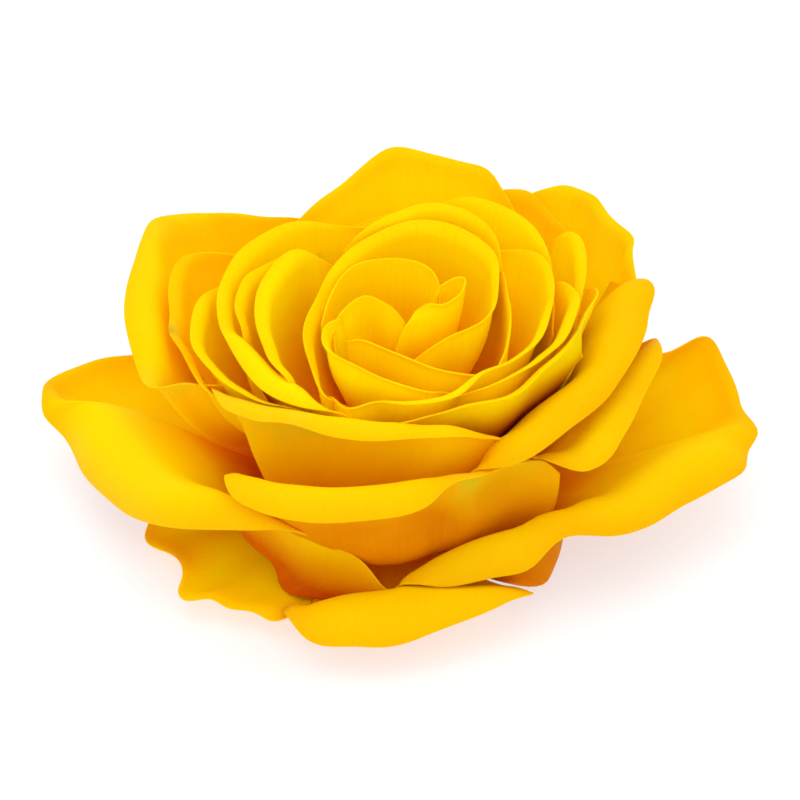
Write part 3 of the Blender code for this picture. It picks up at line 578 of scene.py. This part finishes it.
def fine_grid(grid, across):
    """A smooth surface through a control grid."""
    rows = spline_weights(to_rim(grid.shape[0]), to_rim(FINE_ALONG))
    columns = spline_weights(np.linspace(0, 1, grid.shape[1]), np.linspace(0, 1, across))
    return np.einsum("aj,jkc,bk->abc", rows, grid, columns)


def softened(grid, original):
    """The grid with the moves that parting made evened out, half its own, half its neighbours'."""
    moves = grid - original
    for _ in range(SOFTENING_ROUNDS):
        padded = np.pad(moves, ((1, 1), (1, 1), (0, 0)), mode="edge")
        near = padded[:-2, 1:-1] + padded[2:, 1:-1] + padded[1:-1, :-2] + padded[1:-1, 2:]
        moves = 0.5 * moves + 0.125 * near
    return original + moves


def waves(count, cycles, chance):
    """A gently irregular wave along the rim, about one in height."""
    at = np.linspace(0.0, 1.0, count)
    total = np.zeros(count)
    for pitch in WAVE_PITCHES:
        total += np.sin(2 * math.pi * (cycles * pitch * at + chance.random())) / pitch
    return total / WAVE_SUM


def ruffled(grid, cycles, chance):
    """The rim thrown into small waves across the petal."""
    along, across = grid.shape[:2]
    rise = np.clip((to_rim(along) - RUFFLE_START) / RUFFLE_SPAN, 0, 1) ** 2
    wave = waves(across, cycles, chance)
    return grid + RUFFLE_HEIGHT * rise[:, None, None] * wave[None, :, None] * facing(grid)


def closed_faces(along, across):
    """Faces of the solid between two copies of a grid, the first of them outside."""
    count = along * across
    faces = cells(along, across)
    faces += [tuple(count + k for k in reversed(face)) for face in cells(along, across)]
    edge = list(range(across))
    edge += [j * across + across - 1 for j in range(1, along)]
    edge += [(along - 1) * across + i for i in range(across - 2, -1, -1)]
    edge += [j * across for j in range(along - 2, 0, -1)]
    for a, b in zip(edge, edge[1:] + edge[:1]):
        faces.append((b, a, count + a, count + b))
    return faces


def add_mesh(name, points, faces, paint):
    """A smooth-shaded piece from points in millimetres."""
    mesh = bpy.data.meshes.new(name)
    mesh.from_pydata((np.asarray(points) * MM).tolist(), [], faces)
    mesh.polygons.foreach_set("use_smooth", [True] * len(mesh.polygons))
    mesh.materials.append(paint)
    mesh.update()
    made = bpy.data.objects.new(name, mesh)
    bpy.context.scene.collection.objects.link(made)
    return made


def add_values(piece, name, values):
    """A number for every point, for the material to read."""
    made = piece.data.attributes.new(name, "FLOAT", "POINT")
    made.data.foreach_set("value", np.asarray(values, np.float32).ravel())


def stand_for(piece, node):
    """The piece rides with the frame in place of the plain solid."""
    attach(piece, "root")
    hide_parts(node)


def spotted(points, spots):
    """How much each point is coloured by round spots of place, radius and strength."""
    value = np.zeros(len(points))
    for place, radius, strength in spots:
        far = np.linalg.norm(points - np.array(place), axis=1) / radius
        value = np.maximum(value, strength * np.exp(-far ** 2))
    return value


def add_petal(node, grid, shade_share, paint):
    """A closed thin petal with what its material needs."""
    along, across = grid.shape[:2]
    wall = np.linspace(BASE_WALL, RIM_WALL, along)[:, None, None]
    shift = facing(grid) * wall / 2
    points = np.concatenate([(grid + shift).reshape(-1, 3), (grid - shift).reshape(-1, 3)])
    piece = add_mesh("fine_" + node, points, closed_faces(along, across), paint)
    v = np.repeat(to_rim(along), across)
    u = np.tile(np.linspace(-1, 1, across), along)
    width = np.linalg.norm(np.diff(grid[-1], axis=0), axis=1).sum()
    add_values(piece, "along", np.tile(v, 2))
    add_values(piece, "across", np.tile(u, 2) * width / 2)
    add_values(piece, "outer", np.repeat([1.0, 0.0], along * across))
    inner = node.startswith(("bud", "inner", "cup"))
    # The petal's strength of painted shade towards its base, its dull share and whether it is in the heart.
    for key, number in (("shade_share", shade_share), ("dull", DULL.get(node, 0.0)), ("inner", float(inner))):
        add_values(piece, key, np.full(len(points), number))
    add_values(piece, "green", spotted(points, GREEN.get(node, ())))
    add_values(piece, "stain", spotted(points, BROWN.get(node, ())))
    stand_for(piece, node)


class Shader:
    """A material's nodes, added and joined by name."""

    def __init__(self, name):
        self.material = bpy.data.materials.new(name)
        self.material.use_nodes = True
        self.tree = self.material.node_tree
        self.main = self.tree.nodes["Principled BSDF"]

    def node(self, kind, **settings):
        """A new node with its settings."""
        made = self.tree.nodes.new(kind)
        for key, value in settings.items():
            setattr(made, key, value)
        return made

    def join(self, source, target):
        """A link from an output to an input."""
        self.tree.links.new(source, target)

    def give(self, socket, item):
        """A socket's input: a number, a colour or another node's output."""
        if isinstance(item, float):
            socket.default_value = item
        elif isinstance(item, tuple):
            socket.default_value = (*item, 1.0)
        else:
            self.join(item, socket)

    def value(self, name):
        """The number stored on the points under this name."""
        return self.node("ShaderNodeAttribute", attribute_name=name).outputs["Fac"]

    def arithmetic(self, operation, a, b):
        """Two numbers put together by a Math node."""
        made = self.node("ShaderNodeMath", operation=operation)
        self.give(made.inputs[0], a)
        self.give(made.inputs[1], b)
        return made.outputs[0]

    def ramp(self, source, stops):
        """A colour that changes with a number."""
        made = self.node("ShaderNodeValToRGB")
        band = made.color_ramp
        while len(band.elements) < len(stops):
            band.elements.new(0.5)
        for element, (place, colour) in zip(band.elements, stops):
            element.position = place
            element.color = (*colour, 1.0)
        self.join(source, made.inputs[0])
        return made.outputs[0]

    def span(self, source, low, high, to_low=0.0, to_high=1.0):
        """A number carried from one range to another and held there."""
        made = self.node("ShaderNodeMapRange", clamp=True)
        for socket, item in zip(list(made.inputs)[1:5], (low, high, to_low, to_high)):
            socket.default_value = item
        self.join(source, made.inputs[0])
        return made.outputs[0]

    def mix(self, share, first, second):
        """The second colour laid over the first by a share."""
        made = self.node("ShaderNodeMix", data_type="RGBA")
        self.give(made.inputs[0], share)
        self.give(made.inputs[6], first)
        self.give(made.inputs[7], second)
        return made.outputs[2]

    def noise(self, vector, scale, detail):
        """A soft random number over the surface."""
        made = self.node("ShaderNodeTexNoise")
        made.inputs["Scale"].default_value = scale
        made.inputs["Detail"].default_value = detail
        self.join(vector, made.inputs["Vector"])
        return made.outputs["Fac"]

    def stretched(self, across, along, third, scale_across, scale_along):
        """Coordinates along the petal, drawn out so that marks run from its base to its rim."""
        made = self.node("ShaderNodeCombineXYZ")
        self.join(self.arithmetic("MULTIPLY", across, scale_across), made.inputs[0])
        self.join(self.arithmetic("MULTIPLY", along, scale_along), made.inputs[1])
        self.join(third, made.inputs[2])
        return made.outputs[0]

    def place(self):
        """The point's own place, in metres."""
        return self.node("ShaderNodeTexCoord").outputs["Object"]

    def bump(self, height, strength, distance):
        """Fine relief."""
        made = self.node("ShaderNodeBump")
        made.inputs["Strength"].default_value = strength
        made.inputs["Distance"].default_value = distance
        self.join(height, made.inputs["Height"])
        self.join(made.outputs[0], self.main.inputs["Normal"])

    def set(self, **values):
        """Plain values on the shader's own sockets."""
        for key, value in values.items():
            self.main.inputs[key.replace("_", " ")].default_value = value


# Petal colours from base to rim: inside, outside, and in the heart; their orange at the base is partly own
# colour, partly painted shade.
INSIDE = (
    (0.0, (0.9, 0.2, 0.0)), (0.3, (0.97, 0.44, 0.0)), (0.55, (1.0, 0.68, 0.0)),
    (0.8, (1.0, 0.72, 0.0)), (0.93, (1.0, 0.57, 0.0)), (1.0, (1.0, 0.47, 0.0)))
OUTSIDE = (
    (0.0, (0.95, 0.16, 0.0)), (0.35, (1.0, 0.3, 0.0)), (0.6, (1.0, 0.42, 0.0)),
    (0.8, (1.0, 0.48, 0.0)), (1.0, (1.0, 0.47, 0.0)))
HEART = (
    (0.0, (1.0, 0.2, 0.0)), (0.4, (1.0, 0.5, 0.0)), (0.7, (1.0, 0.72, 0.0)),
    (0.85, (1.0, 0.76, 0.0)), (0.95, (1.0, 0.7, 0.0)), (1.0, (1.0, 0.56, 0.0)))
# The dark orange of the painted shade at the petals' bases.
SHADE_ORANGE = (0.5, 0.03, 0.0)
OCHRE = (0.4, 0.1, 0.0)
VEIN_ORANGE = (0.95, 0.3, 0.0)
MOTTLE_YELLOW = (1.0, 0.6, 0.0)
SPOT_GREEN = (0.42, 0.5, 0.01)
STAIN_BROWN = (0.3, 0.1, 0.01)
DRY_BROWN = (0.3, 0.22, 0.05)


def petal_material():
    """Yellow petal skin: orange towards the base and outside, partly its own and partly painted shade, fine
    veins, a soft waxy sheen.
    """
    s = Shader("petal_skin")
    along = s.value("along")
    outer = s.value("outer")
    # The strength of the petal's painted shade towards its base.
    shade_share = s.value("shade_share")
    colour = s.mix(outer, s.ramp(along, INSIDE), s.ramp(along, OUTSIDE))
    colour = s.mix(s.value("inner"), colour, s.ramp(along, HEART))
    # The painted shade: deep orange towards the base, reaching further up the outside than the inside, as
    # the outer walls lie in shade under the rolled lips.
    reach = s.arithmetic("SUBTRACT", along, s.arithmetic("MULTIPLY", outer, 0.36))
    low = s.span(reach, 0.33, 0.6, 0.95, 0.0)
    colour = s.mix(s.arithmetic("MULTIPLY", shade_share, low), colour, SHADE_ORANGE)
    colour = s.mix(s.value("dull"), colour, OCHRE)
    fan = s.stretched(s.value("across"), along, shade_share, 1.6, 1.2)
    veins = s.noise(fan, 1.0, 4.0)
    colour = s.mix(s.span(veins, 0.45, 0.75, 0.0, 0.12), colour, VEIN_ORANGE)
    mottle = s.noise(s.place(), 90.0, 3.0)
    colour = s.mix(s.span(mottle, 0.4, 0.7, 0.0, 0.1), colour, MOTTLE_YELLOW)
    patch = s.span(s.noise(s.place(), 160.0, 3.0), 0.35, 0.6)
    colour = s.mix(s.arithmetic("MULTIPLY", s.value("green"), patch), colour, SPOT_GREEN)
    colour = s.mix(s.value("stain"), colour, STAIN_BROWN)
    s.join(colour, s.main.inputs["Base Color"])
    s.join(s.span(mottle, 0.3, 0.7, 0.42, 0.56), s.main.inputs["Roughness"])
    grain = s.noise(s.place(), 1400.0, 2.0)
    relief = s.arithmetic("ADD", veins, s.arithmetic("MULTIPLY", grain, 0.25))
    s.bump(relief, 0.35, 0.0002)
    s.set(Subsurface_Weight=0.5, Subsurface_Scale=0.0012, Subsurface_Radius=(1.0, 0.8, 0.05))
    s.set(Specular_IOR_Level=0.01)
    return s.material


def green_material(name, dark, light):
    """Sepal or receptacle skin: green with paler streaks, dry patches and fine grain."""
    s = Shader(name)
    streak = s.noise(s.place(), 320.0, 4.0)
    colour = s.ramp(streak, ((0.3, dark), (0.7, light)))
    patch = s.noise(s.place(), 60.0, 2.0)
    colour = s.mix(s.span(patch, 0.5, 0.7, 0.0, 0.35), colour, DRY_BROWN)
    s.join(colour, s.main.inputs["Base Color"])
    s.join(s.span(streak, 0.3, 0.7, 0.45, 0.6), s.main.inputs["Roughness"])
    s.bump(s.noise(s.place(), 1200.0, 3.0), 0.4, 0.0002)
    s.set(Subsurface_Weight=0.1, Subsurface_Scale=0.001)
    return s.material


def cut_material():
    """The pale wet pith of the cut."""
    s = Shader("cut_pith")
    pith = s.noise(s.place(), 500.0, 4.0)
    colour = s.ramp(pith, ((0.3, (0.32, 0.36, 0.12)), (0.7, (0.6, 0.62, 0.32))))
    s.join(colour, s.main.inputs["Base Color"])
    s.join(s.span(pith, 0.3, 0.7, 0.35, 0.55), s.main.inputs["Roughness"])
    s.bump(pith, 0.5, 0.0003)
    return s.material


def floor_material():
    """A pale matt floor that gives off a little light, so that it stays near white."""
    s = Shader("pale_floor")
    s.set(Base_Color=(0.5, 0.5, 0.5, 1.0), Roughness=0.9, Specular_IOR_Level=0.0)
    s.set(Emission_Color=(1.0, 1.0, 1.0, 1.0), Emission_Strength=0.52)
    return s.material


# Each sepal: its turn round the axis, its length and its width.
SEPALS = ((18, 24, 6.0), (90, 22, 5.5), (162, 25, 6.0), (234, 23, 5.5), (306, 24, 6.0))
SEPAL_STEPS = 40
SEPAL_HALF_STEPS = 7
# A sepal's start, out from the axis and up, its drop, and its sideways sway.
SEPAL_OUT = 6.6
SEPAL_UP = 2.3
SEPAL_DROP = 1.35
SEPAL_SWAY = 0.5
# Its trough, the groove along its middle, its lift, and its half thickness at base and point.
SEPAL_TROUGH = 0.14
SEPAL_GROOVE = 0.12
GROOVE_SHARPNESS = 60
SEPAL_LIFT = 0.35
SEPAL_HALF_WALL = (0.36, 0.22)

# The receptacle's outline below its ball, as radius and height, from the cut upwards.
BELOW_BALL = (
    (0.0, 0.0), (1.6, 0.06), (3.2, 0.0), (4.3, 0.0), (4.55, 0.12), (4.9, 0.35), (5.4, 0.8),
    (5.85, 1.5), (6.05, 2.2), (6.15, 3.0), (6.3, 3.8), (6.55, 4.5))
BALL_FROM = 109
BALL_STEP = 4
AROUND = 96
# Its faint ribs: their number, their share of the radius, and the height that they lie round.
RIBS = 5
RIB_SHARE = 0.012
RIB_HEIGHT = 2.5
RIB_REACH = 2.0
# In metres: faces above this are petal-coloured, and those below the next are the cut.
SKIN_ABOVE = 0.0115
CUT_BELOW = 0.00009


def sepal_half_width(t):
    """A sepal's half width as a share, from its broad base to its long point."""
    return (0.8 + 1.1 * t) * (1.0 - t) ** 0.85 * 0.92 + 0.06


def add_sepal(number, turn, length, width, paint, chance):
    """A pointed leaf turned back under the bloom, troughed and a little wavy."""
    out = np.array([math.cos(turn), math.sin(turn), 0.0])
    side = np.array([math.sin(turn), -math.cos(turn), 0.0])
    phase = chance.random() * 2 * math.pi
    rows = []
    for j in range(SEPAL_STEPS):
        t = j / (SEPAL_STEPS - 1)
        half = width / 2 * sepal_half_width(t)
        sway = SEPAL_SWAY * math.sin(2.2 * math.pi * t + phase) * t
        middle = out * (SEPAL_OUT + length * t) + UP * (SEPAL_UP - SEPAL_DROP * t) + side * sway
        row = []
        for s in np.linspace(-1, 1, 2 * SEPAL_HALF_STEPS + 1):
            rise = SEPAL_TROUGH * half * s * s - SEPAL_GROOVE * math.exp(-GROOVE_SHARPNESS * s * s)
            row.append(middle + side * half * s + UP * (rise + SEPAL_LIFT))
        rows.append(row)
    grid = np.array(rows)
    shift = UP * np.linspace(*SEPAL_HALF_WALL, SEPAL_STEPS)[:, None, None]
    points = np.concatenate([(grid + shift).reshape(-1, 3), (grid - shift).reshape(-1, 3)])
    piece = add_mesh(f"fine_sepal_{number}", points, closed_faces(*grid.shape[:2]), paint)
    stand_for(piece, f"sepal_{number}")


def receptacle_points(outline):
    """The outline turned round the axis, ribbed a little, with one point at each end."""
    points = [(0.0, 0.0, outline[0][1])]
    for radius, height in outline[1:-1]:
        for i in range(AROUND):
            turn = 2 * math.pi * i / AROUND
            near = math.exp(-((height - RIB_HEIGHT) / RIB_REACH) ** 2)
            ripple = 1.0 + RIB_SHARE * math.cos(RIBS * turn) * near
            points.append((radius * ripple * math.cos(turn), radius * ripple * math.sin(turn), height))
    points.append((0.0, 0.0, outline[-1][1]))
    return points


def turned_faces(rings):
    """The faces of a turned solid: a fan at each end and bands between."""
    last = 1 + (rings - 1) * AROUND
    faces = [(0, 1 + (i + 1) % AROUND, 1 + i) for i in range(AROUND)]
    for j in range(rings - 1):
        for i in range(AROUND):
            a = 1 + j * AROUND + i
            b = 1 + j * AROUND + (i + 1) % AROUND
            faces.append((a, b, b + AROUND, a + AROUND))
    for i in range(AROUND):
        faces.append((last + i, last + (i + 1) % AROUND, last + AROUND))
    return faces


def add_receptacle(paint, cut, petal):
    """The swollen base: ribbed a little, the cut below, and the colour of the petals on top."""
    outline = list(BELOW_BALL)
    for polar in range(BALL_FROM, 0, -BALL_STEP):
        angle = math.radians(polar)
        outline.append((BALL_RADIUS * math.sin(angle), BALL_HEIGHT + BALL_RADIUS * math.cos(angle)))
    outline.append((0.0, BALL_HEIGHT + BALL_RADIUS))
    faces = turned_faces(len(outline) - 2)
    piece = add_mesh("fine_receptacle", receptacle_points(outline), faces, paint)
    piece.data.materials.append(cut)
    piece.data.materials.append(petal)
    for face in piece.data.polygons:
        on_top = face.center.z > SKIN_ABOVE
        face.material_index = 2 if on_top else int(face.center.z < CUT_BELOW)
    stand_for(piece, "receptacle")


# The stage, the lights and the camera, in metres and watts.
FLOOR_SIZE = 3.0
FLOOR_HEIGHT = -0.0001
SURROUND_STRENGTH = 1.04
LIGHT_TARGET = (0, 0, 0.02)
TARGET_HEIGHT = 0.019
CAMERA_ANGLE = 40.0
CAMERA_DISTANCE = 0.52
SENSOR_WIDTH = 36.0
LENS = 138.06
VIEW_GAMMA = 1.15
BOUNCES = 16
DIFFUSE_BOUNCES = 12


def add_stage():
    """A pale floor under the flower."""
    mesh = bpy.data.meshes.new("floor")
    corners = ((-1, -1), (1, -1), (1, 1), (-1, 1))
    points = [(x * FLOOR_SIZE, y * FLOOR_SIZE, FLOOR_HEIGHT) for x, y in corners]
    mesh.from_pydata(points, [], [(0, 1, 2, 3)])
    mesh.materials.append(floor_material())
    floor = bpy.data.objects.new("floor", mesh)
    bpy.context.scene.collection.objects.link(floor)


def add_softbox(name, place, size, power):
    """A round soft light turned towards the flower."""
    light = bpy.data.lights.new(name, "AREA")
    light.shape = "DISK"
    light.size = size
    light.energy = power
    made = bpy.data.objects.new(name, light)
    made.location = place
    aim = Vector(LIGHT_TARGET) - Vector(place)
    made.rotation_euler = aim.to_track_quat("-Z", "Y").to_euler()
    bpy.context.scene.collection.objects.link(made)


def add_light():
    """A big softbox almost overhead, a weak one in front and a white surround."""
    world = bpy.data.worlds.new("white_room")
    world.use_nodes = True
    surround = world.node_tree.nodes["Background"]
    surround.inputs["Color"].default_value = (1.0, 1.0, 1.0, 1.0)
    surround.inputs["Strength"].default_value = SURROUND_STRENGTH
    bpy.context.scene.world = world
    add_softbox("key", (-0.06, -0.04, 0.8), 0.7, 1.6)
    add_softbox("fill", (0.1, -0.6, 0.55), 0.5, 0.4)


def add_camera():
    """The camera in front of the flower, looking down on it."""
    target = Vector((0.0, 0.0, TARGET_HEIGHT))
    lift = math.radians(CAMERA_ANGLE)
    data = bpy.data.cameras.new("camera")
    data.sensor_width = SENSOR_WIDTH
    data.lens = LENS
    made = bpy.data.objects.new("camera", data)
    made.location = target + CAMERA_DISTANCE * Vector((0.0, -math.cos(lift), math.sin(lift)))
    made.rotation_euler = (target - made.location).to_track_quat("-Z", "Y").to_euler()
    bpy.context.scene.collection.objects.link(made)
    bpy.context.scene.camera = made


def add_petals(paint):
    """All petals: shaped as control grids, parted, drawn smooth, then given rim waves."""
    grids = {}
    seats = {}
    across = {}
    for name, seat, slope, spread, centre, stations in PETALS:
        flare = BUD_FLARE.get(name, (0.0, 0.0))
        full = FULLNESS.get(name, ARM)
        grids[name] = petal_grid(seat, slope, spread, centre, stations, flare, full)
        seats[name] = seat or 0
        across[name] = int(np.clip(rim_length(stations) / FINE_SPACING, FEWEST_FINE, MOST_FINE))
    first = {name: grid.copy() for name, grid in grids.items()}
    parted = part_petals(grids, seats)
    for number, (name, grid) in enumerate(parted.items()):
        chance = random.Random(number)
        grid = fine_grid(softened(grid, first[name]), across[name])
        grid = ruffled(grid, across[name] / POINTS_PER_WAVE, chance)
        # Each petal gets its strength of painted shade, or a small random one.
        add_petal(name, grid, PAINTED_SHADE.get(name, USUAL_SHADE * chance.random()), paint)


def main():
    """The whole scene."""
    scene = bpy.context.scene
    scene.view_settings.view_transform = "Standard"
    scene.view_settings.gamma = VIEW_GAMMA
    scene.cycles.max_bounces = BOUNCES
    scene.cycles.diffuse_bounces = DIFFUSE_BOUNCES
    add_camera()
    add_light()
    add_stage()
    skin = petal_material()
    add_petals(skin)
    leaf = green_material("sepal_skin", (0.05, 0.11, 0.02), (0.13, 0.22, 0.05))
    for number, (turn, length, width) in enumerate(SEPALS, 1):
        add_sepal(number, math.radians(turn), length, width, leaf, random.Random(100 + number))
    base = green_material("receptacle_skin", (0.08, 0.16, 0.03), (0.2, 0.3, 0.08))
    add_receptacle(base, cut_material(), skin)


main()
